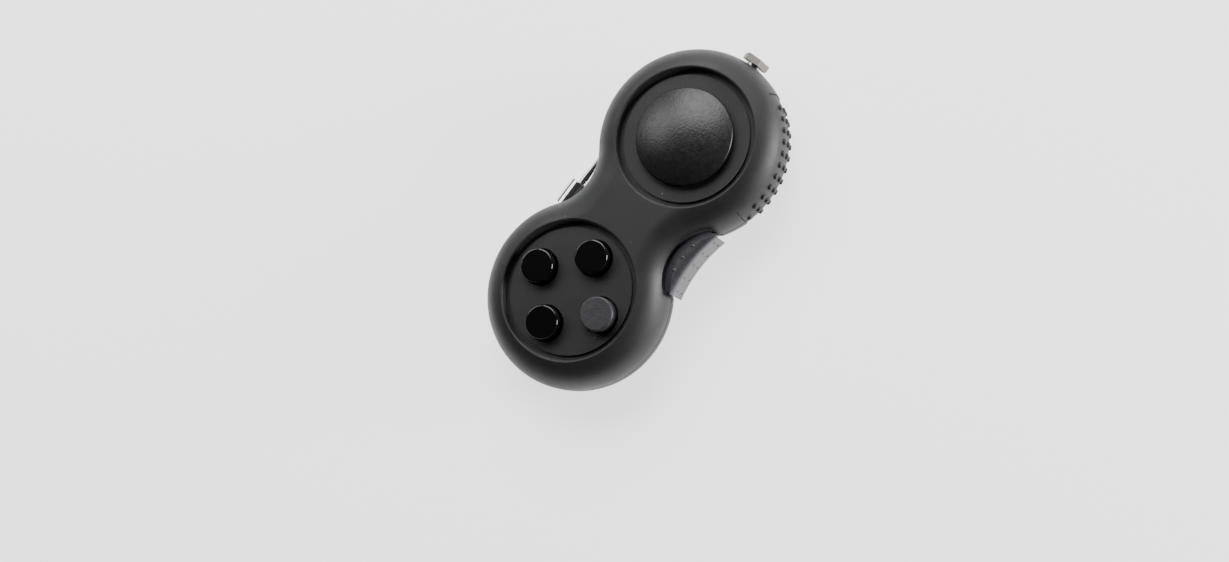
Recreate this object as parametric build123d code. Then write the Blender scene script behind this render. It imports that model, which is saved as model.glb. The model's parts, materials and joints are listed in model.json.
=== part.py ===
from build123d import *
import os
from math import cos, degrees, radians, sin, sqrt

# A handheld fidget pad: two round lobes joined by a waist, in millimetres.
# The origin is in the middle of the flat back. +Y runs from the button lobe
# to the joystick lobe, +X towards the rocker's side and +Z out of the face.

# Casing
LOBE_RADIUS = 21.25
LOBE_Y = 20.75
WAIST_ARC = 11.5
THICKNESS = 16.0
SHOULDER = 7.2
WALL = 2.0
SEAM_Z = THICKNESS / 2
SEAM_GROOVE = 0.25
LIP_HEIGHT = 1.0

# Recesses in the face
RIM_RADIUS = 15.85
FLOOR_RADIUS = 14.15
RECESS_DEPTH = 1.7
RIM_LIP = 0.3
MOAT_OUTER = 15.1
MOAT_DEPTH = 0.6
RIM_LIP_SPREAD = 1.6
FLOOR_THICKNESS = 1.5
FLOOR_Z = THICKNESS - RECESS_DEPTH
UNDER_FLOOR_Z = FLOOR_Z - FLOOR_THICKNESS

# Buttons
BUTTON_CIRCLE = 8.9
BUTTON_RADIUS = 3.8
BUTTON_GAP = 0.4
BUTTON_PROUD = 1.0
BUTTON_EDGE = 0.4
FLANGE_RADIUS = 4.6
FLANGE_THICKNESS = 0.8
KEYPAD_Z = 8.0
SHEET_THICKNESS = 0.5
DOME_RADIUS = 3.3
DOME_HEIGHT = 2.4
DOME_WALL = 0.45
BASE_THICKNESS = 1.4
BASE_RADIUS = 13.4
POST_CIRCLE = 10.8

# Joystick
CAP_RADIUS = 10.8
CAP_UNDER_Z = FLOOR_Z + 0.7
CAP_RIM_Z = 16.0
CAP_TOP_Z = 18.4
CAP_SHELL = 1.3
STICK_TRAVEL = 2.5
STEM_RADIUS = 2.8
SPIGOT_RADIUS = 1.7
STICK_HOLE = 6.6
SKIRT_RADIUS = 10.2
SKIRT_Z = 12.0
SKIRT_THICKNESS = 0.6
SLIDER_Z = 10.0
SLIDER_THICKNESS = 1.4
SLIDER_HALF_X = 9.2
SLIDER_HALF_Y = 5.2
SLIDE_GAP = 0.2
GUIDE_Z = 7.4
GUIDE_THICKNESS = 1.3
GUIDE_RADIUS = 13.2
GUIDE_POST_Y = 11.0

# Rocker at the waist
ROCKER_ARC_X = 23.85
ROCKER_ARC = 10.9
ROCKER_GAP = 0.42
ROCKER_BEVEL_WIDTH = 1.8
ROCKER_BEVEL_DROP = 1.0
ROCKER_HALF_LENGTH = 7.9
ROCKER_HALF_HEIGHT = 4.7
ROCKER_FACE_X = 17.4
ROCKER_FACE_HOLLOW = 1.0
ROCKER_PIVOT_X = 10.6
ROCKER_PIN_RADIUS = 0.8
ROCKER_ROUND = 1.5
ROCKER_PIP_PITCH = 3.3
ROCKER_PIP_RADIUS = 0.45
ROCKER_PIP_SHOWN = 0.17
ROCKER_PIP_ROW = 2.05
LUG_HALF_WIDTH = 1.9
LUG_HALF_HEIGHT = 2.6
BLOCK_X = 7.2
BLOCK_HALF = 9.4

# Bump strip round the joystick lobe
STRIP_START = -18.0
STRIP_END = 65.0
STRIP_HALF_ARC = 33.5
STRIP_FIRST_PIPS = 3.5
STRIP_SMOOTH_END = 8.0
STRIP_SINK = 0.25
STRIP_THICKNESS = 0.85
PIP_RADIUS = 0.85
PIP_TIP_RADIUS = 0.5
PIP_TIP_ROUND = 0.2
PIP_ROOT = 0.3
PIP_HEIGHT = 0.5
PIP_PITCH = 2.62

# Hexagon knob at the tip
HEX_FLATS = 5.6
HEX_THICKNESS = 1.5
HEX_STANDOFF = 0.55
STUD_RADIUS = 1.7
RUNNING_GAP = 0.05

# Chrome roller across the waist
ROLLER_X = -15.9
ROLLER_RADIUS = 2.4
ROLLER_LENGTH = 6.5
ROLLER_POCKET_HALF = 7.6
ROLLER_POCKET_RADIUS = 2.9
SLEEVE_RADIUS = 0.86
SLEEVE_TIP_RADIUS = 0.66
SLEEVE_COLLAR = 1.2
SLEEVE_NOSE = 2.8
AXLE_RADIUS = 0.5
AXLE_HALF_LENGTH = 9.5

# Dial and thumb dish in the back
DIAL_RADIUS = 12.2
DIAL_THICKNESS = 1.6
DIAL_SINK = 0.2
DIAL_RECESS_RADIUS = 12.6
DIAL_RECESS_DEPTH = 2.1
BACK_FLOOR = 1.6
SPINDLE_RADIUS = 1.5
DISH_RADIUS = 12.4
DISH_DEPTH = 1.6

# Fasteners
CASE_SCREW_CIRCLE = 16.6
CASE_BOSS_RADIUS = 2.2
CASE_HEAD_RADIUS = 1.7
CASE_SCREW_RADIUS = 0.95
CASE_HEAD_Z = 2.6
INNER_POST_RADIUS = 1.8
INNER_HEAD_RADIUS = 1.4
INNER_SCREW_RADIUS = 0.7

CENTRE_TO_ARC = sqrt((LOBE_RADIUS + WAIST_ARC) ** 2 - LOBE_Y**2)
TOP_Z = THICKNESS - SHOULDER
FLAT_RADIUS = LOBE_RADIUS - SHOULDER
HEX_SEAT_Y = LOBE_Y + LOBE_RADIUS - WALL - 0.6
BUTTON_NAMES = ["right", "top", "left", "bottom"]
LIFT = (Align.CENTER, Align.CENTER, Align.MIN)
ALONG_Y = Rot(-90, 0, 0)


def rod(radius, low, high, x=0.0, y=0.0):
    """An upright cylinder between two heights."""
    return Pos(x, y, low) * Cylinder(radius, high - low, align=LIFT)


def rod_y(radius, start, stop, x=0.0, z=SEAM_Z):
    """A cylinder along Y between two stations."""
    return Pos(x, start, z) * ALONG_Y * Cylinder(radius, stop - start, align=LIFT)


def block(x_low, x_high, y_low, y_high, z_low, z_high):
    """A box between six planes."""
    size = (x_high - x_low, y_high - y_low, z_high - z_low)
    low_corner = (Align.MIN, Align.MIN, Align.MIN)
    return Pos(x_low, y_low, z_low) * Box(*size, align=low_corner)


def spun(points, x=0.0, y=0.0):
    """A turned piece from its half section, given as radius and height pairs."""
    section = make_face(Polyline([(r, 0, z) for r, z in points], close=True))
    return Pos(x, y, 0) * revolve(section, Axis.Z)


def on_circle(radius, angle, y=0.0):
    """A point on a circle about a lobe's axis."""
    return radius * cos(radians(angle)), y + radius * sin(radians(angle))


def outline(inset):
    """The two lobes and the waist between them, drawn inside the casing's outline."""
    lobe = LOBE_RADIUS - inset
    arc = WAIST_ARC + inset
    touch_x = CENTRE_TO_ARC * lobe / (lobe + arc)
    touch_y = LOBE_Y * arc / (lobe + arc)
    waist_x = CENTRE_TO_ARC - arc
    end_y = LOBE_Y + lobe
    edges = [
        ThreePointArc((touch_x, touch_y), (0, end_y), (-touch_x, touch_y)),
        ThreePointArc((-touch_x, touch_y), (-waist_x, 0), (-touch_x, -touch_y)),
        ThreePointArc((-touch_x, -touch_y), (0, -end_y), (touch_x, -touch_y)),
        ThreePointArc((touch_x, -touch_y), (waist_x, 0), (touch_x, touch_y)),
    ]
    return make_face(edges)


def casing_body(inset):
    """The rounded body of both halves together, made smaller all round by the inset."""
    height = THICKNESS - 2 * inset
    body = Pos(0, 0, inset) * extrude(outline(inset), height)
    rims = body.edges().group_by(Axis.Z)
    return fillet(rims[0] + rims[-1], SHOULDER - inset)


def outline_ring(outer_inset, inner_inset, low, high):
    """A band that follows the casing's outline."""
    band = outline(outer_inset) - outline(inner_inset)
    return Pos(0, 0, low) * extrude(band, high - low)


def case_screw_places():
    """The four case screws, two outboard on each lobe."""
    reach = CASE_SCREW_CIRCLE / sqrt(2)
    return [(sx * reach, sy * (LOBE_Y + reach)) for sx in (-1, 1) for sy in (-1, 1)]


def inner_screw_places():
    """Centre, head seat and post foot of each screw that holds an inner plate."""
    diagonal = [on_circle(POST_CIRCLE, angle, -LOBE_Y) for angle in (45, 135, 225, 315)]
    button_screws = [(x, y, KEYPAD_Z) for x, y in diagonal]
    guide_top = GUIDE_Z + GUIDE_THICKNESS
    guide_screws = [(0, LOBE_Y + side * GUIDE_POST_Y, guide_top) for side in (-1, 1)]
    return button_screws + guide_screws


def strip_section(outer, inner, half_angle):
    """The section of a band that hugs the lobe's rounded side, at depths below it."""
    def side(depth, sign, angle):
        reach = SHOULDER - depth
        height = SEAM_Z + sign * (TOP_Z - SEAM_Z + reach * sin(radians(angle)))
        return FLAT_RADIUS + reach * cos(radians(angle)), 0, height

    def wall(depth):
        ends = [side(depth, sign, half_angle) for sign in (1, -1)]
        middles = [side(depth, sign, half_angle / 2) for sign in (1, -1)]
        sides = [side(depth, sign, 0) for sign in (1, -1)]
        upper = ThreePointArc(ends[0], middles[0], sides[0])
        lower = ThreePointArc(sides[1], middles[1], ends[1])
        return ends, [upper, Line(sides[0], sides[1]), lower]

    outer_ends, outer_wall = wall(outer)
    inner_ends, inner_wall = wall(inner)
    top = Line(outer_ends[0], inner_ends[0])
    bottom = Line(outer_ends[1], inner_ends[1])
    return make_face(outer_wall + [bottom] + inner_wall + [top])


def strip_band(outer, inner, half_angle, start, stop):
    """The band turned about the joystick lobe's axis from one angle to another."""
    section = strip_section(outer, inner, half_angle)
    band = revolve(section, Axis.Z, stop - start)
    return Pos(0, LOBE_Y, 0) * Rot(0, 0, start) * band


def rocker_bite():
    """The lens-shaped notch in the waist that holds the rocker."""
    circle = rod(ROCKER_ARC + ROCKER_GAP, -1, THICKNESS + 1, ROCKER_ARC_X)
    half = ROCKER_HALF_LENGTH + 0.7
    return circle & block(0, 2 * ROCKER_ARC_X, -half, half, -1, THICKNESS + 1)


def side_openings():
    """Everything cut through both halves at the seam: rocker, roller and knob."""
    lug_room = block(
        ROCKER_PIVOT_X - 2.2, ROCKER_ARC_X - ROCKER_ARC, -LUG_HALF_WIDTH - 0.5,
        LUG_HALF_WIDTH + 0.5, SEAM_Z - LUG_HALF_HEIGHT - 0.3,
        SEAM_Z + LUG_HALF_HEIGHT + 0.3,
    )
    leaf_room = block(ROCKER_PIVOT_X - 3.2, ROCKER_PIVOT_X - 2, -4.6, 4.6, 4.8, 11.2)
    pin_hole = rod(ROCKER_PIN_RADIUS, 1.9, 14.1, ROCKER_PIVOT_X)
    pocket = rod_y(ROLLER_POCKET_RADIUS, -ROLLER_POCKET_HALF, ROLLER_POCKET_HALF, ROLLER_X)
    axle_hole = rod_y(AXLE_RADIUS, -AXLE_HALF_LENGTH, AXLE_HALF_LENGTH, ROLLER_X)
    tip = LOBE_Y + LOBE_RADIUS
    stud_hole = rod_y(STUD_RADIUS + RUNNING_GAP, HEX_SEAT_Y - 1, tip + 1)
    strip_seat = strip_band(
        -1.5, STRIP_SINK + STRIP_THICKNESS, STRIP_HALF_ARC + 0.8, STRIP_START - 0.3,
        STRIP_END + 0.3,
    )
    groove = outline_ring(
        -1, SEAM_GROOVE, SEAM_Z - SEAM_GROOVE / 2, SEAM_Z + SEAM_GROOVE / 2
    )
    return [
        rocker_bite(), lug_room, leaf_room, pin_hole, pocket, axle_hole, stud_hole,
        strip_seat, groove,
    ]


def side_blocks():
    """Solid material behind the rocker, the roller and the knob, inside both halves."""
    rocker_block = block(BLOCK_X, LOBE_RADIUS, -BLOCK_HALF, BLOCK_HALF, 0, THICKNESS)
    roller_half = AXLE_HALF_LENGTH + 1
    roller_block = block(-LOBE_RADIUS, -11.2, -roller_half, roller_half, 0, THICKNESS)
    tip = LOBE_Y + LOBE_RADIUS
    return [rocker_block, roller_block, rod_y(STUD_RADIUS + 2, HEX_SEAT_Y, tip)]


def half_casing(low, high, body, cavity, floors, openings):
    """One half of the casing: outer skin, floors, blocks and bosses, then the openings."""
    slab = block(-30, 30, -50, 50, low, high)
    outer = body & slab
    inside = [rod(CASE_BOSS_RADIUS, 0, THICKNESS, x, y) for x, y in case_screw_places()]
    solids = [piece & outer for piece in floors + inside + side_blocks()]
    skin = outer - cavity
    half = skin + solids
    return half - openings


def rim_height():
    """The height of the rounded shoulder where a recess's rim meets it."""
    run = RIM_RADIUS - FLAT_RADIUS
    return TOP_Z + sqrt(SHOULDER**2 - run**2)


def front_shell(body, cavity, openings):
    """The face half, with a coned recess in each lobe and a moat at its foot."""
    floors = [
        rod(RIM_RADIUS + 1, UNDER_FLOOR_Z, THICKNESS, 0, side * LOBE_Y)
        for side in (-1, 1)
    ]
    half = half_casing(SEAM_Z, THICKNESS, body, cavity, floors, openings)
    spread = (RIM_RADIUS - FLOOR_RADIUS) / RECESS_DEPTH
    top = THICKNESS + 1
    lip_z = rim_height() - RIM_LIP
    lip_radius = FLOOR_RADIUS + spread * (lip_z - FLOOR_Z)
    moat_z = FLOOR_Z - MOAT_DEPTH
    recess_points = [
        (0, FLOOR_Z), (FLOOR_RADIUS, FLOOR_Z), (FLOOR_RADIUS, moat_z),
        (MOAT_OUTER, moat_z), (lip_radius, lip_z),
    ]
    for angle in (22.5, 45, 67.5, 90):
        out = RIM_LIP * RIM_LIP_SPREAD * (1 - cos(radians(angle)))
        recess_points.append((lip_radius + out, lip_z + RIM_LIP * sin(radians(angle))))
    recess_points += [(recess_points[-1][0], top), (0, top)]
    cuts = [spun(recess_points, 0, side * LOBE_Y) for side in (-1, 1)]
    hole_radius = BUTTON_RADIUS + BUTTON_GAP
    for angle in (0, 90, 180, 270):
        x, y = on_circle(BUTTON_CIRCLE, angle, -LOBE_Y)
        cuts.append(rod(hole_radius, UNDER_FLOOR_Z - 1, top, x, y))
    cuts.append(rod(STICK_HOLE, UNDER_FLOOR_Z - 1, top, 0, LOBE_Y))
    cuts += [rod(CASE_SCREW_RADIUS, 0, 11.4, x, y) for x, y in case_screw_places()]
    cuts.append(outline_ring(0.75, WALL + 0.1, SEAM_Z, SEAM_Z + LIP_HEIGHT + 0.1))
    return half - cuts


def rear_shell(body, cavity, openings):
    """The back half, with the dial's seat, the thumb dish and the posts inside."""
    floors = [
        rod(DIAL_RECESS_RADIUS + 1.2, 0, DIAL_RECESS_DEPTH + BACK_FLOOR, 0, LOBE_Y),
        rod(DISH_RADIUS + 1.2, 0, DISH_DEPTH + BACK_FLOOR, 0, -LOBE_Y),
    ]
    half = half_casing(0, SEAM_Z, body, cavity, floors, openings)
    lip = outline_ring(0.85, WALL - 0.4, SEAM_Z - 0.5, SEAM_Z + LIP_HEIGHT)
    blocked = [lip & piece for piece in side_blocks()]
    posts = []
    for x, y, seat in inner_screw_places():
        foot = DISH_DEPTH if y < 0 else DIAL_RECESS_DEPTH
        top = KEYPAD_Z - BASE_THICKNESS if y < 0 else GUIDE_Z
        posts.append(rod(INNER_POST_RADIUS, foot + 0.5, top, x, y))
    half = half + ([lip - blocked - openings] + posts)
    sphere_radius = (DISH_RADIUS**2 + DISH_DEPTH**2) / (2 * DISH_DEPTH)
    cuts = [Pos(0, -LOBE_Y, DISH_DEPTH - sphere_radius) * Sphere(sphere_radius)]
    cuts.append(rod(DIAL_RECESS_RADIUS, -1, DIAL_RECESS_DEPTH, 0, LOBE_Y))
    bore_top = DIAL_RECESS_DEPTH + BACK_FLOOR + 1
    cuts.append(rod(SPINDLE_RADIUS + RUNNING_GAP, 0, bore_top, 0, LOBE_Y))
    for x, y in case_screw_places():
        cuts.append(rod(CASE_HEAD_RADIUS + 0.15, -1, CASE_HEAD_Z, x, y))
        cuts.append(rod(CASE_SCREW_RADIUS + 0.15, 0, SEAM_Z + 1, x, y))
    for x, y, seat in inner_screw_places():
        cuts.append(rod(INNER_SCREW_RADIUS, seat - 4.4, seat, x, y))
    return half - cuts


def case_screws():
    """Four pan-head screws that close the casing from the back."""
    screws = []
    for x, y in case_screw_places():
        head = rod(CASE_HEAD_RADIUS, CASE_HEAD_Z - 1.2, CASE_HEAD_Z, x, y)
        shank = rod(CASE_SCREW_RADIUS, CASE_HEAD_Z, 11.2, x, y)
        slot = block(x - 1.2, x + 1.2, y - 0.2, y + 0.2, 0, CASE_HEAD_Z - 0.7)
        cross = block(x - 0.2, x + 0.2, y - 1.2, y + 1.2, 0, CASE_HEAD_Z - 0.7)
        screws.append(head + shank - [slot, cross])
    return screws


def inner_screws():
    """Small screws that hold the button plate and the joystick guide."""
    screws = []
    for x, y, seat in inner_screw_places():
        head = rod(INNER_HEAD_RADIUS, seat, seat + 0.8, x, y)
        shank = rod(INNER_SCREW_RADIUS, seat - 4.2, seat, x, y)
        slot = block(x - 0.9, x + 0.9, y - 0.15, y + 0.15, seat + 0.45, seat + 1)
        screws.append(head + shank - slot)
    return screws


def button_cap(x, y):
    """A round button: hollow cap, flange under the floor and a centre plunger."""
    top = THICKNESS + BUTTON_PROUD
    flange_top = UNDER_FLOOR_Z - SLIDE_GAP
    flange_low = flange_top - FLANGE_THICKNESS
    plunger_low = KEYPAD_Z + DOME_HEIGHT + 0.05
    cap = rod(BUTTON_RADIUS, flange_low, top)
    cap = fillet(cap.edges().group_by(Axis.Z)[-1], BUTTON_EDGE)
    cap = cap + rod(FLANGE_RADIUS, flange_low, flange_top)
    cap = cap - rod(BUTTON_RADIUS - 0.9, flange_low - 1, top - 1.3)
    cap = cap + rod(1.4, plunger_low, top - 1)
    return Pos(x, y, 0) * cap


def button_dome(x, y):
    """A silicone dome that lifts one button: a foot, a coned wall and a flat top."""
    top = KEYPAD_Z + DOME_HEIGHT
    foot = KEYPAD_Z + SHEET_THICKNESS
    inner_top = 1.7 - DOME_WALL
    points = [
        (0, top), (1.7, top), (DOME_RADIUS - 0.5, foot), (DOME_RADIUS, foot),
        (DOME_RADIUS, KEYPAD_Z), (DOME_RADIUS - 0.9, KEYPAD_Z),
        (inner_top, top - DOME_WALL), (0, top - DOME_WALL),
    ]
    return spun(points, x, y)


def keypad_sheet():
    """The silicone sheet between the four domes."""
    sheet = rod(BASE_RADIUS, KEYPAD_Z, KEYPAD_Z + SHEET_THICKNESS, 0, -LOBE_Y)
    cuts = []
    for angle in (0, 90, 180, 270):
        x, y = on_circle(BUTTON_CIRCLE, angle, -LOBE_Y)
        cuts.append(rod(DOME_RADIUS, KEYPAD_Z - 1, KEYPAD_Z + 1, x, y))
        x, y = on_circle(POST_CIRCLE, angle + 45, -LOBE_Y)
        cuts.append(rod(INNER_HEAD_RADIUS + 0.2, KEYPAD_Z - 1, KEYPAD_Z + 1, x, y))
    return sheet - cuts


def click_discs():
    """Sprung steel discs under the three clicking buttons."""
    discs = []
    for angle in (90, 180, 270):
        x, y = on_circle(BUTTON_CIRCLE, angle, -LOBE_Y)
        points = [
            (0, KEYPAD_Z + 0.45), (1.2, KEYPAD_Z + 0.38), (2.1, KEYPAD_Z + 0.12),
            (2.1, KEYPAD_Z), (1.15, KEYPAD_Z + 0.25), (0, KEYPAD_Z + 0.32),
        ]
        discs.append(spun(points, x, y))
    return discs


def button_base():
    """The rigid plate under the keypad."""
    plate = rod(BASE_RADIUS, KEYPAD_Z - BASE_THICKNESS, KEYPAD_Z, 0, -LOBE_Y)
    holes = []
    for angle in (45, 135, 225, 315):
        x, y = on_circle(POST_CIRCLE, angle, -LOBE_Y)
        holes.append(rod(INNER_SCREW_RADIUS, 0, THICKNESS, x, y))
    window = rod(3.2, 0, THICKNESS, 0, -LOBE_Y)
    return plate - holes - window


def joystick_cap():
    """A low dome, hollow underneath, with a socket for the stem."""
    rise = CAP_TOP_Z - CAP_RIM_Z
    dome_radius = (CAP_RADIUS**2 + rise**2) / (2 * rise)
    centre_z = CAP_TOP_Z - dome_radius
    drum = rod(CAP_RADIUS, CAP_UNDER_Z, THICKNESS + 5)
    cap = drum & (Pos(0, 0, centre_z) * Sphere(dome_radius))
    rim = [edge for edge in cap.edges() if abs(edge.center().Z - CAP_RIM_Z) < 0.05]
    cap = fillet(rim, 0.35)
    room = rod(CAP_RADIUS - CAP_SHELL, 0, THICKNESS + 5)
    hollow = room & (Pos(0, 0, centre_z) * Sphere(dome_radius - CAP_SHELL))
    socket = rod(SPIGOT_RADIUS + 1.3, CAP_UNDER_Z, CAP_TOP_Z - 0.6)
    cap = (cap - hollow) + socket
    cap = cap - rod(SPIGOT_RADIUS, 0, CAP_TOP_Z - 1.2)
    return Pos(0, LOBE_Y, 0) * cap


def joystick_stem():
    """The post under the cap, square where it runs in the slider's slot."""
    half = STEM_RADIUS
    square = block(-half, half, -half, half, SLIDER_Z, SKIRT_Z)
    post = rod(STEM_RADIUS, SKIRT_Z, CAP_UNDER_Z)
    spigot = rod(SPIGOT_RADIUS, CAP_UNDER_Z, CAP_TOP_Z - 1.25)
    tip = rod(1.5, SLIDER_Z - 1, SLIDER_Z)
    return Pos(0, LOBE_Y, 0) * (square + post + spigot + tip)


def joystick_skirt():
    """The disc on the stem that keeps the hole closed and the stick in."""
    disc = rod(SKIRT_RADIUS, SKIRT_Z, SKIRT_Z + SKIRT_THICKNESS)
    return Pos(0, LOBE_Y, 0) * (disc - rod(STEM_RADIUS, 0, THICKNESS))


def joystick_slider():
    """The frame that runs along Y and guides the stem along X."""
    top = SLIDER_Z + SLIDER_THICKNESS
    plate = block(-SLIDER_HALF_X, SLIDER_HALF_X, -SLIDER_HALF_Y, SLIDER_HALF_Y, SLIDER_Z, top)
    slot_x = STEM_RADIUS + STICK_TRAVEL + SLIDE_GAP
    slot_y = STEM_RADIUS + SLIDE_GAP
    slot = block(-slot_x, slot_x, -slot_y, slot_y, 0, THICKNESS)
    return Pos(0, LOBE_Y, 0) * (plate - slot)


def joystick_guide():
    """The fixed plate with two rails that the slider runs between."""
    top = GUIDE_Z + GUIDE_THICKNESS
    rail_low = SLIDER_HALF_X + SLIDE_GAP
    rail_high = rail_low + 1.4
    rail_half = SLIDER_HALF_Y + STICK_TRAVEL + 0.7
    guide = rod(GUIDE_RADIUS, GUIDE_Z, top)
    for side in (-1, 1):
        inner, outer = sorted((side * rail_low, side * rail_high))
        guide = guide + block(inner, outer, -rail_half, rail_half, top - 0.2, 11.5)
        inner, outer = sorted((side * (rail_low - 1.2), side * rail_high))
        ledge_top = SLIDER_Z - SLIDE_GAP
        guide = guide + block(inner, outer, -rail_half, rail_half, top - 0.2, ledge_top)
        guide = guide - rod(INNER_SCREW_RADIUS, 0, THICKNESS, 0, side * GUIDE_POST_Y)
    guide = guide - rod(3.0, 0, top + 1)
    return Pos(0, LOBE_Y, 0) * guide


def centring_web():
    """A thin silicone web that pulls the stem back to the middle."""
    base = GUIDE_Z + GUIDE_THICKNESS
    points = [
        (1.6, SLIDER_Z - 0.9), (2.5, SLIDER_Z - 0.9), (4.2, SLIDER_Z - 0.6),
        (6.0, SLIDER_Z - 0.9), (6.6, base), (7.6, base), (7.6, SLIDER_Z - 0.5),
        (6.2, SLIDER_Z - 0.5), (4.2, SLIDER_Z - 0.25), (2.5, SLIDER_Z - 0.4),
        (1.6, SLIDER_Z - 0.4),
    ]
    return spun(points, 0, LOBE_Y)


def rocker_paddle():
    """The lens-shaped rocker with its pivot lug and a grid of small pips."""
    low = SEAM_Z - ROCKER_HALF_HEIGHT
    high = SEAM_Z + ROCKER_HALF_HEIGHT
    half = ROCKER_HALF_LENGTH
    top_arc = ROCKER_ARC - ROCKER_BEVEL_WIDTH
    profile = [
        (0, low), (top_arc, low), (ROCKER_ARC, low + ROCKER_BEVEL_DROP),
        (ROCKER_ARC, high - ROCKER_BEVEL_DROP), (top_arc, high), (0, high),
    ]
    lens = spun(profile, ROCKER_ARC_X, 0)
    face_radius = rocker_face_radius()
    lens = lens & block(0, ROCKER_ARC_X, -half, half, low, high)
    lens = lens - rod(face_radius, low - 1, high + 1, ROCKER_FACE_X + face_radius)
    lens = fillet(long_rims(lens, ROCKER_FACE_X - 0.2, ROCKER_FACE_X + 2), ROCKER_ROUND)
    lug = block(
        ROCKER_PIVOT_X - 1.3, ROCKER_PIVOT_X + 3.2, -LUG_HALF_WIDTH, LUG_HALF_WIDTH,
        SEAM_Z - LUG_HALF_HEIGHT, SEAM_Z + LUG_HALF_HEIGHT,
    )
    nose_half = LUG_HALF_HEIGHT - 0.2
    nose = rod(1.3, SEAM_Z - nose_half, SEAM_Z + nose_half, ROCKER_PIVOT_X - 0.6)
    pips = [Pos(*place) * Sphere(ROCKER_PIP_RADIUS) for place in rocker_pip_places()]
    paddle = lens + [lug, nose] + pips
    return paddle - rod(ROCKER_PIN_RADIUS + RUNNING_GAP, 0, THICKNESS, ROCKER_PIVOT_X)


def rocker_face_radius():
    """The radius of the shallow hollow along the rocker's outer face."""
    half = ROCKER_HALF_LENGTH
    return (half**2 + ROCKER_FACE_HOLLOW**2) / (2 * ROCKER_FACE_HOLLOW)


def long_rims(lens, x_low, x_high):
    """The upper and lower edges that run the rocker's length, between two stations."""
    levels = lens.edges().group_by(Axis.Z)
    rims = [edge for edge in levels[0] + levels[-1] if abs(edge.center().Y) < 1]
    return [edge for edge in rims if x_low < edge.center().X < x_high]


def rocker_pip_places():
    """Rows of pips over the rocker's front, its outer face and its back."""
    rise = ROCKER_HALF_HEIGHT
    sunk = ROCKER_PIP_RADIUS - ROCKER_PIP_SHOWN
    face_radius = rocker_face_radius()
    places = []
    for step in (-2, -1, 0, 1, 2):
        y = ROCKER_PIP_PITCH * step
        face_x = ROCKER_FACE_X + face_radius - sqrt(face_radius**2 - y**2)
        for side in (-1, 1):
            if abs(step) < 2:
                places.append((face_x - ROCKER_PIP_ROW, y, SEAM_Z + side * (rise - sunk)))
            places.append((face_x - sunk, y, SEAM_Z + side * ROCKER_PIP_PITCH / 2))
    return places


def rocker_pin():
    """The steel pivot pin, held in both halves of the casing."""
    return rod(ROCKER_PIN_RADIUS, 2.0, 14.0, ROCKER_PIVOT_X)


def rocker_leaf():
    """The bowed spring strip that presses on the rocker's nose."""
    back_x = ROCKER_PIVOT_X - 3.0
    front_x = ROCKER_PIVOT_X - 2.15
    outer = ThreePointArc((back_x, -4.4), (front_x, 0), (back_x, 4.4))
    strip = make_face(
        [
            outer, Line((back_x, 4.4), (back_x - 0.2, 4.3)),
            ThreePointArc((back_x - 0.2, 4.3), (front_x - 0.22, 0), (back_x - 0.2, -4.3)),
            Line((back_x - 0.2, -4.3), (back_x, -4.4)),
        ]
    )
    return Pos(0, 0, 5) * extrude(strip, 6)


def bump_strip():
    """The textured rubber band let into the side of the joystick lobe."""
    inner = STRIP_SINK + STRIP_THICKNESS - 0.02
    band = strip_band(STRIP_SINK, inner, STRIP_HALF_ARC, STRIP_START, STRIP_END)
    pitch_angle = degrees(PIP_PITCH / LOBE_RADIUS)
    first = STRIP_START + STRIP_FIRST_PIPS
    columns = int((STRIP_END - STRIP_SMOOTH_END - first) / pitch_angle) + 1
    flat_half = TOP_Z - SEAM_Z
    reach = SHOULDER - STRIP_SINK
    pips = []
    for row in (-1, 0, 1):
        run = max(abs(row) * PIP_PITCH - flat_half, 0)
        angle = degrees(run / SHOULDER)
        radius = FLAT_RADIUS + reach * cos(radians(angle))
        rise = (flat_half + reach * sin(radians(angle))) if row else 0
        height = SEAM_Z + (rise if row > 0 else -rise)
        tilt = angle if row > 0 else -angle
        for column in range(1 if row else 0, columns):
            turn = first + column * pitch_angle
            pip = Cone(PIP_RADIUS, PIP_TIP_RADIUS, PIP_HEIGHT + PIP_ROOT, align=LIFT)
            pip = fillet(pip.edges().group_by(Axis.Z)[-1], PIP_TIP_ROUND)
            pip = Rot(0, 90 - tilt, 0) * Pos(0, 0, -PIP_ROOT) * pip
            pip = Pos(radius, 0, height) * pip
            pips.append(Pos(0, LOBE_Y, 0) * Rot(0, 0, turn) * pip)
    return band + pips


def hex_nut():
    """The six-sided knob at the tip of the joystick lobe."""
    start = LOBE_Y + LOBE_RADIUS + HEX_STANDOFF
    corner_radius = HEX_FLATS / sqrt(3)
    prism = extrude(RegularPolygon(corner_radius, 6), HEX_THICKNESS)
    knob = prism & Cone(corner_radius - 0.15, corner_radius + 3, HEX_THICKNESS, align=LIFT)
    knob = knob - rod(STUD_RADIUS - 0.3, -1, HEX_THICKNESS - 0.3)
    edge = knob.faces().sort_by(Axis.Z)[-1].edges()
    knob = chamfer(edge, 0.2)
    return Pos(0, start, SEAM_Z) * ALONG_Y * knob


def hex_stud():
    """The shaft of the knob, through the casing wall, with a clip groove inside."""
    wall_out = LOBE_Y + LOBE_RADIUS
    shoulder = wall_out + HEX_STANDOFF
    shaft = rod_y(STUD_RADIUS, HEX_SEAT_Y - 2, shoulder)
    core = rod_y(STUD_RADIUS - 0.3, shoulder, shoulder + HEX_THICKNESS - 0.3)
    groove_start = HEX_SEAT_Y - 0.95
    groove = rod_y(STUD_RADIUS + 1, groove_start, groove_start + 0.5)
    groove = groove - rod_y(STUD_RADIUS - 0.35, groove_start - 1, groove_start + 2)
    return shaft + core - groove


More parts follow.
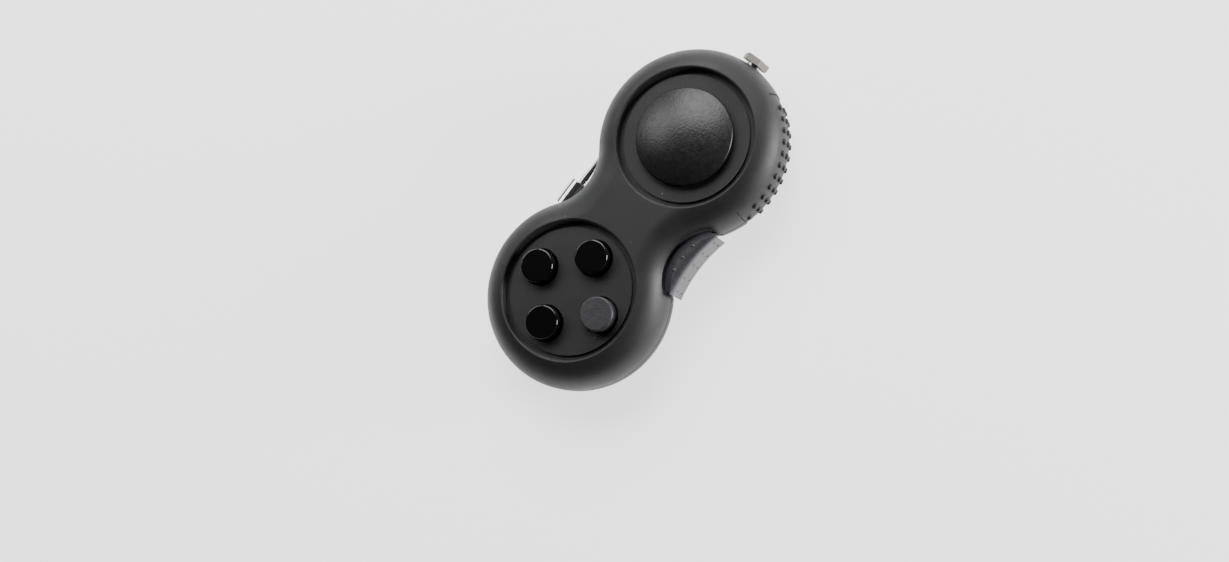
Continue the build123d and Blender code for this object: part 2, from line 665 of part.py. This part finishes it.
def hex_washer():
    """The friction washer between the wall and the clip."""
    ring = rod_y(2.9, HEX_SEAT_Y - 0.4, HEX_SEAT_Y - 0.05)
    return ring - rod_y(STUD_RADIUS + RUNNING_GAP, 0, 2 * LOBE_Y)


def hex_clip():
    """The snap ring in the stud's groove, open at one side."""
    start = HEX_SEAT_Y - 0.9
    ring = rod_y(2.8, start, start + 0.4) - rod_y(STUD_RADIUS - 0.33, 0, 2 * LOBE_Y)
    mouth = block(-1.2, 1.2, 0, 2 * LOBE_Y, SEAM_Z - 4, SEAM_Z - 1)
    return ring - mouth


def roller_axle():
    """The thin steel axle across the waist pocket."""
    length = AXLE_HALF_LENGTH
    return rod_y(AXLE_RADIUS, -length, length, ROLLER_X)


def roller_sleeve():
    """The sliding sleeve on the axle, with a ringed collar and a tapered nose."""
    low = 0.15 - ROLLER_POCKET_HALF
    end = low + ROLLER_LENGTH
    collar_end = end + SLEEVE_COLLAR
    body = rod_y(SLEEVE_RADIUS, low, collar_end, ROLLER_X)
    nose = Cone(SLEEVE_RADIUS, SLEEVE_TIP_RADIUS, SLEEVE_NOSE, align=LIFT)
    body = body + Pos(ROLLER_X, collar_end, SEAM_Z) * ALONG_Y * nose
    for start in (end + 0.05, end + 0.7):
        ring = rod_y(2, start, start + 0.25, ROLLER_X)
        body = body - (ring - rod_y(SLEEVE_RADIUS - 0.2, start - 1, start + 1, ROLLER_X))
    bore_end = collar_end + SLEEVE_NOSE + 1
    return body - rod_y(AXLE_RADIUS + RUNNING_GAP, low - 1, bore_end, ROLLER_X)


def roller_drum():
    """The polished drum that turns on the sleeve."""
    low = 0.2 - ROLLER_POCKET_HALF
    drum = rod_y(ROLLER_RADIUS, low, low + ROLLER_LENGTH - 0.1, ROLLER_X)
    rims = drum.edges().group_by(Axis.Y)
    drum = fillet(rims[0] + rims[-1], 0.15)
    bore = rod_y(SLEEVE_RADIUS + RUNNING_GAP, low - 1, low + ROLLER_LENGTH + 1, ROLLER_X)
    return drum - bore


def spin_dial():
    """The flat disc in the back that spins under a fingertip."""
    low = DIAL_SINK
    disc = rod(DIAL_RADIUS, low, low + DIAL_THICKNESS)
    disc = fillet(disc.edges(), 0.4)
    cuts = [Pos(7.4, 0, low - 2.6) * Sphere(3.6)]
    ring = rod(4.4, low - 1, low + 0.3) - rod(3.9, low - 2, low + 1)
    cuts.append(ring)
    for index in range(36):
        x, y = on_circle(DIAL_RADIUS + 0.15, index * 10)
        cuts.append(rod(0.45, low - 1, low + DIAL_THICKNESS + 1, x, y))
    cuts.append(rod(SPINDLE_RADIUS, low + 0.6, THICKNESS))
    return Pos(0, LOBE_Y, 0) * (disc - cuts)


def dial_spindle():
    """The dial's shaft through the back wall, with a clip groove."""
    low = DIAL_SINK + 0.6
    inner = DIAL_RECESS_DEPTH + BACK_FLOOR
    shaft = rod(SPINDLE_RADIUS, low, inner + 1.6)
    groove = rod(3, inner + 0.45, inner + 0.95)
    groove = groove - rod(SPINDLE_RADIUS - 0.35, 0, THICKNESS)
    return Pos(0, LOBE_Y, 0) * (shaft - groove)


def dial_washer():
    """The thin washer between the back wall and the dial's clip."""
    inner = DIAL_RECESS_DEPTH + BACK_FLOOR
    ring = rod(2.9, inner + 0.05, inner + 0.4) - rod(SPINDLE_RADIUS + RUNNING_GAP, 0, 9)
    return Pos(0, LOBE_Y, 0) * ring


def dial_clip():
    """The snap ring that holds the dial's shaft."""
    inner = DIAL_RECESS_DEPTH + BACK_FLOOR
    ring = rod(2.7, inner + 0.5, inner + 0.9) - rod(SPINDLE_RADIUS - 0.33, 0, THICKNESS)
    mouth = block(-1, 1, -4, -0.9, 0, THICKNESS)
    return Pos(0, LOBE_Y, 0) * (ring - mouth)


def save(name, shape):
    """Writes one piece, or a group of identical pieces, as one file."""
    solids = shape if isinstance(shape, list) else [shape]
    solids = [solid for piece in solids for solid in piece.solids()]
    whole = solids[0] if len(solids) == 1 else Compound(solids)
    export_step(whole, f"parts/{name}.step")


os.makedirs("parts", exist_ok=True)
whole_body = casing_body(0)
whole_cavity = casing_body(WALL)
seam_openings = side_openings()
save("front_shell", front_shell(whole_body, whole_cavity, seam_openings))
save("rear_shell", rear_shell(whole_body, whole_cavity, seam_openings))
save("case_screws", case_screws())
save("inner_screws", inner_screws())
for index, button_name in enumerate(BUTTON_NAMES):
    centre = on_circle(BUTTON_CIRCLE, 90 * index, -LOBE_Y)
    save(f"button_cap_{button_name}", button_cap(*centre))
    save(f"button_dome_{button_name}", button_dome(*centre))
for piece_name, make_piece in {
    "keypad_sheet": keypad_sheet,
    "click_discs": click_discs,
    "button_base": button_base,
    "joystick_cap": joystick_cap,
    "joystick_stem": joystick_stem,
    "joystick_skirt": joystick_skirt,
    "joystick_slider": joystick_slider,
    "joystick_guide": joystick_guide,
    "centring_web": centring_web,
    "rocker_paddle": rocker_paddle,
    "rocker_pin": rocker_pin,
    "rocker_leaf": rocker_leaf,
    "bump_strip": bump_strip,
    "hex_nut": hex_nut,
    "hex_stud": hex_stud,
    "hex_washer": hex_washer,
    "hex_clip": hex_clip,
    "roller_axle": roller_axle,
    "roller_sleeve": roller_sleeve,
    "roller_drum": roller_drum,
    "spin_dial": spin_dial,
    "dial_spindle": dial_spindle,
    "dial_washer": dial_washer,
    "dial_clip": dial_clip,
}.items():
    save(piece_name, make_piece())
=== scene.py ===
# %% [markdown]
# # A pocket fidget pad
# The pad is a moulded black casing with two round lobes. One lobe holds four push
# buttons and the other a sliding thumb stick. The CAD model gives every piece its
# shape, its size and its joint. This script gives each piece its real finish and
# lights the result. Everything is in metres in the CAD model's own frame, so nothing
# has to be fitted by hand.

# %% Load the CAD model as a fixed frame
import json
import math
import bmesh
import bpy
from mathutils import Matrix, Vector


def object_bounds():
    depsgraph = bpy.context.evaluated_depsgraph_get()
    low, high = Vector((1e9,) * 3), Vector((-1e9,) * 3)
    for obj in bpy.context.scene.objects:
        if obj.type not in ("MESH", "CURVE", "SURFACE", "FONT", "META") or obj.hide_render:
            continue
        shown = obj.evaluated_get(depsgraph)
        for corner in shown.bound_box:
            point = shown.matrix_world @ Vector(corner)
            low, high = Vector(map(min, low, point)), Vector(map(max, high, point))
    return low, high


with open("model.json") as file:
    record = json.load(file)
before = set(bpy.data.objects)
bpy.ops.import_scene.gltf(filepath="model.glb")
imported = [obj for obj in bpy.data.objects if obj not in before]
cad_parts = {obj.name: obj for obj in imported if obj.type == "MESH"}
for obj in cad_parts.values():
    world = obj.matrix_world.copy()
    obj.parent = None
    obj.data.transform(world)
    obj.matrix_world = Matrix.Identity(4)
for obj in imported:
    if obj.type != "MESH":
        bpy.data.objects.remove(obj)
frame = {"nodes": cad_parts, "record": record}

MM = 0.001
CAD_LOW, CAD_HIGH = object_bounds()
CAD_SIZE = CAD_HIGH - CAD_LOW
print("CAD box in mm:", [round(side / MM, 2) for side in CAD_SIZE])

# %% [markdown]
# ## The camera
# The pad lies on its back and is seen from above, tipped a little to the rocker's
# side. A camera could be aimed with a Track To constraint, but a constraint can't
# hold a roll. So its three axes are worked out: the direction back to the camera,
# then the pad's long axis squared up to it, then the roll about that direction.

# %% Aim the camera
TILT_ACROSS = math.radians(20.1)
TILT_ALONG = math.radians(4.15)
ROLL = math.radians(52.76)
DISTANCE = 320.6 * MM
AIM = Vector((4.52, -13.47, 8.0)) * MM
LENS_MM = 42.65
NEAREST_SEEN = 10 * MM

to_camera = Vector((math.sin(TILT_ACROSS), math.sin(TILT_ALONG), 0))
to_camera.z = math.sqrt(1 - to_camera.length_squared)
along_pad = (Vector((0, 1, 0)) - to_camera * to_camera.y).normalized()
across_pad = along_pad.cross(to_camera)
view_right = math.cos(ROLL) * along_pad + math.sin(ROLL) * across_pad
view_up = math.sin(ROLL) * along_pad - math.cos(ROLL) * across_pad

camera = bpy.data.objects.new("camera", bpy.data.cameras.new("camera"))
bpy.context.scene.collection.objects.link(camera)
axes = Matrix((view_right, view_up, to_camera)).transposed()
camera.matrix_world = Matrix.Translation(AIM + to_camera * DISTANCE) @ axes.to_4x4()
camera.data.lens = LENS_MM
camera.data.clip_start = NEAREST_SEEN
bpy.context.scene.camera = camera
print("camera at mm:", [round(c / MM) for c in camera.location])

# %% [markdown]
# ## The floor
# A flat sheet carries the pad. One face is enough, because the sheet runs far out
# of view.

# %% Lay the floor
FLOOR_HALF = 3.0
FLOOR_DROP = 0.02 * MM

shape = bmesh.new()
bmesh.ops.create_grid(shape, x_segments=1, y_segments=1, size=FLOOR_HALF)
bmesh.ops.translate(shape, verts=shape.verts, vec=(0, 0, -FLOOR_DROP))
floor_mesh = bpy.data.meshes.new("floor")
shape.to_mesh(floor_mesh)
shape.free()
floor = bpy.data.objects.new("floor", floor_mesh)
bpy.context.scene.collection.objects.link(floor)
print("floor is", 2 * FLOOR_HALF, "m square")

# %% [markdown]
# ## Helpers for materials
# A material is a small network of nodes, and a few helpers keep each one short. They
# turn a paint chip's hex colour into the linear numbers that a renderer works in,
# turn a size in millimetres into a texture's scale, add a node with its settings and
# links, and open and close a material. Three more make what nearly every finish has:
# a blend of two tones, a range of roughness and a relief. All patterns read Object coordinates, which are in
# metres here, so a pattern has the same real size on every piece.

# %% Define the helpers
# A Mix node has its own sockets for numbers, vectors and colours, all of the same
# name. These are the places of the ones that mix colours.
MIX_FACTOR, MIX_FIRST, MIX_SECOND, MIX_RESULT = 0, 6, 7, 2


def linear(hex_colour):
    """An sRGB hex colour as linear red, green, blue and alpha."""
    values = [int(hex_colour[start:start + 2], 16) / 255 for start in (1, 3, 5)]
    return [v / 12.92 if v <= 0.04045 else ((v + 0.055) / 1.055) ** 2.4 for v in values] + [1]


def per_metre(size_mm):
    """The texture scale that makes one feature this many millimetres wide."""
    return 1 / (size_mm * MM)


def add(tree, kind, inputs=None, **settings):
    """Adds one node. Each input gets a value, or the socket that it reads."""
    made = tree.nodes.new("ShaderNode" + kind)
    for name, value in settings.items():
        setattr(made, name, value)
    for name, value in (inputs or {}).items():
        if isinstance(value, bpy.types.NodeSocket):
            tree.links.new(value, made.inputs[name])
        else:
            made.inputs[name].default_value = value
    return made


def start_material(name):
    """An empty material, and the place on the piece that its patterns read."""
    material = bpy.data.materials.new(name)
    material.use_nodes = True
    tree = material.node_tree
    tree.nodes.clear()
    return material, tree, add(tree, "TexCoord").outputs["Object"]


def end_material(tree, surface):
    """Joins the finished surface to the material's output."""
    add(tree, "OutputMaterial", {"Surface": surface.outputs["BSDF"]})


def blend(tree, amount, first, second):
    """Mixes two colours. Each is a hex colour, or the socket that it reads."""
    tones = [linear(tone) if isinstance(tone, str) else tone for tone in (first, second)]
    mixed = add(tree, "Mix", {
        MIX_FACTOR: amount, MIX_FIRST: tones[0], MIX_SECOND: tones[1],
    }, data_type="RGBA")
    return mixed.outputs[MIX_RESULT]


def spread(tree, value, taken, given):
    """Stretches the span that is taken from a value over the span that is given."""
    stretched = add(tree, "MapRange", {
        "Value": value, "From Min": taken[0], "From Max": taken[1],
        "To Min": given[0], "To Max": given[1],
    })
    return stretched.outputs["Result"]


def relief(tree, height, strength, depth_mm):
    """Bends the light as if the pattern stood out by this many millimetres."""
    bump = add(tree, "Bump", {
        "Height": height, "Strength": strength, "Distance": depth_mm * MM,
    })
    return bump.outputs["Normal"]


print("helpers ready")

# %% [markdown]
# ## The light
# Black plastic shows its shape only by what it reflects. So the pad lies as if beside
# a wide window: a large soft box stands beyond the top of the view, and the room
# grows dark away from it. That grades the casing from grey to black and throws each
# cap's shadow into its recess. A narrow box at the right lights the rims from that
# side, and a weak one at the upper left puts the bright stripe on the chrome drum.

# %% Set up the lamps
def softbox(name, offset, distance, size, power):
    """A square lamp, aimed at the pad. Its offset runs right, up and back to the camera."""
    lamp = bpy.data.lights.new(name, "AREA")
    lamp.size = size
    lamp.energy = power
    way = view_right * offset[0] + view_up * offset[1] + to_camera * offset[2]
    way.normalize()
    made = bpy.data.objects.new(name, lamp)
    bpy.context.scene.collection.objects.link(made)
    made.location = AIM + way * distance
    made.rotation_mode = "QUATERNION"
    made.rotation_quaternion = way.to_track_quat("Z", "Y")


softbox("window", offset=(-0.2, 1.0, 0.68), distance=0.7, size=0.5, power=5)
softbox("left_light", offset=(-0.8, 0.6, 0.4), distance=0.6, size=0.3, power=1.2)
softbox("side_light", offset=(1.0, 0.1, 0.5), distance=0.7, size=0.25, power=8)

# %% Light the room
ROOM_DARK, ROOM_BRIGHT = 0.05, 0.4
DARK_UNTIL, BRIGHT_FROM = 0.1, 0.9
window_side = Vector((view_up.x, view_up.y, 0)).normalized()
world = bpy.data.worlds.new("room_with_window")
world.use_nodes = True
room = world.node_tree
facing = add(room, "VectorMath", {
    0: add(room, "TexCoord").outputs["Generated"], 1: window_side,
}, operation="DOT_PRODUCT")
level = spread(
    room, facing.outputs["Value"], (DARK_UNTIL, BRIGHT_FROM), (ROOM_DARK, ROOM_BRIGHT))
room.links.new(level, room.nodes["Background"].inputs["Strength"])
room.nodes["Background"].inputs["Color"].default_value = (1, 1, 1, 1)
bpy.context.scene.world = world
print("lamps:", [lamp.name for lamp in bpy.data.lights])

# %% [markdown]
# ## Soft-touch paint on ABS
# The casing is moulded in ABS and sprayed with a rubbery soft-touch paint. It has
# almost no shine, and it feels like peach skin. Under it the light spreads widely,
# so the roughness is high. Skin oil polishes it in patches a centimetre across,
# and a few specks of dust always cling to it. The real grain is about 0.05 mm,
# too fine to show, so it is drawn at 0.3 mm.

# %% Make the soft-touch paint
def soft_touch_paint():
    material, tree, place = start_material("soft_touch_paint_on_ABS")
    grain_mm, oil_patch_mm, dust_cell_mm, dust_radius_mm = 0.3, 11, 3.4, 0.14
    speck_edge = dust_radius_mm / dust_cell_mm
    grain = add(tree, "TexNoise", {
        "Vector": place, "Scale": per_metre(grain_mm), "Detail": 3, "Roughness": 0.6,
    })
    oil = add(tree, "TexNoise", {
        "Vector": place, "Scale": per_metre(oil_patch_mm), "Detail": 4,
        "Distortion": 0.5,
    })
    dust = add(tree, "TexVoronoi", {"Vector": place, "Scale": per_metre(dust_cell_mm)})
    speck = spread(tree, dust.outputs["Distance"], (0.5 * speck_edge, speck_edge), (0.55, 0))
    tone = blend(tree, grain.outputs["Fac"], "#0c0c0d", "#121214")
    surface = add(tree, "BsdfPrincipled", {
        "Base Color": blend(tree, speck, tone, "#b9b7b2"),
        "Roughness": spread(tree, oil.outputs["Fac"], (0.35, 0.65), (0.5, 0.6)),
        "IOR": 1.5, "Sheen Weight": 0.06, "Sheen Roughness": 0.5,
        "Normal": relief(tree, grain.outputs["Fac"], strength=0.25, depth_mm=0.02),
    })
    end_material(tree, surface)
    return material


# %% [markdown]
# ## Grained and satin mouldings
# The thumb stick, the rocker, the satin button and the grip band are moulded
# against an etched steel tool, which leaves a pebbled grain. The pieces differ in
# the size of the pebble, how deep it is and how much the surface shines. So one
# recipe serves all four, and each piece has its own numbers.

# %% Make the grained mouldings
def grained_moulding(name, dark, light, pebble_mm, depth_mm, shine, ior):
    material, tree, place = start_material(name)
    mottle_mm = 2.4 * pebble_mm
    pebble = add(tree, "TexVoronoi", {
        "Vector": place, "Scale": per_metre(pebble_mm), "Smoothness": 0.6,
    }, feature="SMOOTH_F1")
    mottle = add(tree, "TexNoise", {
        "Vector": place, "Scale": per_metre(mottle_mm), "Detail": 5,
        "Roughness": 0.65,
    })
    roughness = (shine - 0.05, shine + 0.07)
    surface = add(tree, "BsdfPrincipled", {
        "Base Color": blend(tree, mottle.outputs["Fac"], dark, light),
        "Roughness": spread(tree, mottle.outputs["Fac"], (0.3, 0.7), roughness),
        "IOR": ior,
        "Normal": relief(tree, pebble.outputs["Distance"], strength=0.5, depth_mm=depth_mm),
    })
    end_material(tree, surface)
    return material


# %% [markdown]
# ## Polished ABS
# Three buttons and the dial come from a polished tool and look like piano lacquer.
# What the eye reads is a sharp reflection, softened only by hair-fine rub marks,
# so the pattern goes into the roughness and a very shallow bump.

# %% Make the polished plastic
def polished_plastic(name, colour, shine):
    material, tree, place = start_material(name)
    rub_mm = 1.6
    rub = add(tree, "TexNoise", {
        "Vector": place, "Scale": per_metre(rub_mm), "Detail": 6, "Roughness": 0.7,
        "Distortion": 1.5,
    })
    roughness = (shine, shine + 0.04)
    surface = add(tree, "BsdfPrincipled", {
        "Base Color": blend(tree, rub.outputs["Fac"], colour, "#070708"),
        "Roughness": spread(tree, rub.outputs["Fac"], (0.4, 0.75), roughness),
        "IOR": 1.54,
        "Normal": relief(tree, rub.outputs["Fac"], strength=0.04, depth_mm=0.005),
    })
    end_material(tree, surface)
    return material


# %% [markdown]
# ## Metals
# A metal has no colour of its own below its reflection, so the base colour is the
# colour of that reflection, and the metallic value is one. The way it was worked
# shows in the roughness: turned pieces carry rings round their axis, and a blasted
# piece an even grit. A noise pattern draws the grit, and squeezed along an axis it
# draws the rings.

# %% Make the metals
def worked_metal(name, dark, light, shine, mark_mm, squeeze):
    material, tree, place = start_material(name)
    squeezed = add(tree, "Mapping", {"Vector": place, "Scale": squeeze})
    marks = add(tree, "TexNoise", {
        "Vector": squeezed.outputs["Vector"], "Scale": per_metre(mark_mm), "Detail": 4,
        "Roughness": 0.6,
    })
    roughness = (shine, shine + 0.1)
    surface = add(tree, "BsdfPrincipled", {
        "Base Color": blend(tree, marks.outputs["Fac"], dark, light), "Metallic": 1.0,
        "Roughness": spread(tree, marks.outputs["Fac"], (0.3, 0.7), roughness),
        "Normal": relief(tree, marks.outputs["Fac"], strength=0.2, depth_mm=0.01),
    })
    end_material(tree, surface)
    return material


# %% [markdown]
# ## Silicone and bare inner plastic
# The domes, the keypad and the web are milky silicone, which lets light a little
# way in. The plates inside are bare ABS and acetal with the faint flow marks of a
# cheap mould. They are seen only when the pad is taken apart.

# %% Make the inner plastics
def inner_plastic(name, dark, light, shine, glow):
    material, tree, place = start_material(name)
    flow_mm = 3.5
    flow = add(tree, "TexNoise", {
        "Vector": place, "Scale": per_metre(flow_mm), "Detail": 5, "Distortion": 1.2,
    })
    roughness = (shine, shine + 0.12)
    surface = add(tree, "BsdfPrincipled", {
        "Base Color": blend(tree, flow.outputs["Fac"], dark, light),
        "Roughness": spread(tree, flow.outputs["Fac"], (0.3, 0.7), roughness),
        "Subsurface Weight": glow, "Subsurface Scale": 0.5 * MM,
        "Normal": relief(tree, flow.outputs["Fac"], strength=0.15, depth_mm=0.02),
    })
    end_material(tree, surface)
    return material


# %% [markdown]
# ## Which piece has which finish
# The part's record names a material slot for every piece, so the finishes are
# handed out by slot, and no piece can be missed. The script stops if a slot has no
# finish here.

# %% Hand out the finishes
ALL_WAYS = (1, 1, 1)
ROUND_Y = (1, 14, 1)
ROUND_Z = (1, 1, 14)
finishes = {
    "soft_touch_black": soft_touch_paint(),
    "grained_black": grained_moulding(
        "leather_grained_ABS", "#0e0e0f", "#161617",
        pebble_mm=0.5, depth_mm=0.05, shine=0.36, ior=1.54),
    # This button's lighter greys are painted light: they stand in for a brighter reflection on this one cap,
    # while its roughness and pebbled grain are its own finish.
    "button_satin": grained_moulding(
        "satin_elastomer_painted_light", "#202022", "#3a3a3c",
        pebble_mm=0.45, depth_mm=0.05, shine=0.42, ior=1.5),
    "satin_black": grained_moulding(
        "semi_gloss_ABS", "#2e2e31", "#3c3c40",
        pebble_mm=0.4, depth_mm=0.02, shine=0.33, ior=1.54),
    "black_rubber": grained_moulding(
        "moulded_rubber", "#0c0c0d", "#131314",
        pebble_mm=0.35, depth_mm=0.03, shine=0.58, ior=1.52),
    "button_gloss": polished_plastic("polished_ABS", "#040305", shine=0.07),
    "dial_black": polished_plastic("polished_dial_ABS", "#0e0e10", shine=0.16),
    "grey_metal": worked_metal(
        "bead_blasted_zinc", "#6e6c68", "#8a8883", shine=0.46, mark_mm=0.3, squeeze=ALL_WAYS),
    "chrome": worked_metal(
        "chrome_plate", "#cfd0d3", "#e2e3e5", shine=0.04, mark_mm=0.5, squeeze=ROUND_Y),
    "plain_steel": worked_metal(
        "turned_steel", "#9b9c9d", "#bbbcbd", shine=0.22, mark_mm=0.4, squeeze=ROUND_Y),
    "blackened_screw": worked_metal(
        "black_oxide_steel", "#1c1c1f", "#2e2e31", shine=0.32, mark_mm=0.4, squeeze=ROUND_Z),
    "silicone": inner_plastic("milky_silicone", "#c3c5c6", "#d6d8d9", shine=0.4, glow=0.3),
    "inner_abs": inner_plastic("bare_ABS", "#4a4b4e", "#57585b", shine=0.42, glow=0.0),
    "inner_black": inner_plastic("bare_black_ABS", "#151517", "#1e1e20", shine=0.5, glow=0.0),
    "inner_acetal": inner_plastic("natural_acetal", "#dedbd3", "#ebe8e1", shine=0.35, glow=0.1),
}
for subpart in frame["record"]["subparts"]:
    piece = frame["nodes"][subpart["node"]]
    piece.data.materials.clear()
    piece.data.materials.append(finishes[subpart["material_slot"]])
print(len(frame["nodes"]), "pieces share", len(finishes), "finishes")

# %% [markdown]
# ## The floor's finish
# The ground is a light table: a sheet of opal acrylic, lit evenly from below. It
# stays pale while the lamps above stay dim enough for black plastic. The sheet is
# matt, and milky with a trace of cloud.

# %% Finish the floor
TABLE_GLOW = 1.7
CLOUD_MM = 1.5
acrylic, table_tree, table_place = start_material("opal_acrylic_light_table")
cloud = add(table_tree, "TexNoise", {
    "Vector": table_place, "Scale": per_metre(CLOUD_MM), "Detail": 3,
})
table_tone = blend(table_tree, cloud.outputs["Fac"], "#f4f4f4", "#fafafa")
end_material(table_tree, add(table_tree, "BsdfPrincipled", {
    "Base Color": table_tone, "Roughness": 0.9, "IOR": 1.49,
    "Emission Color": table_tone, "Emission Strength": TABLE_GLOW,
}))
floor.data.materials.append(acrylic)
print("floor finished with", acrylic.name)
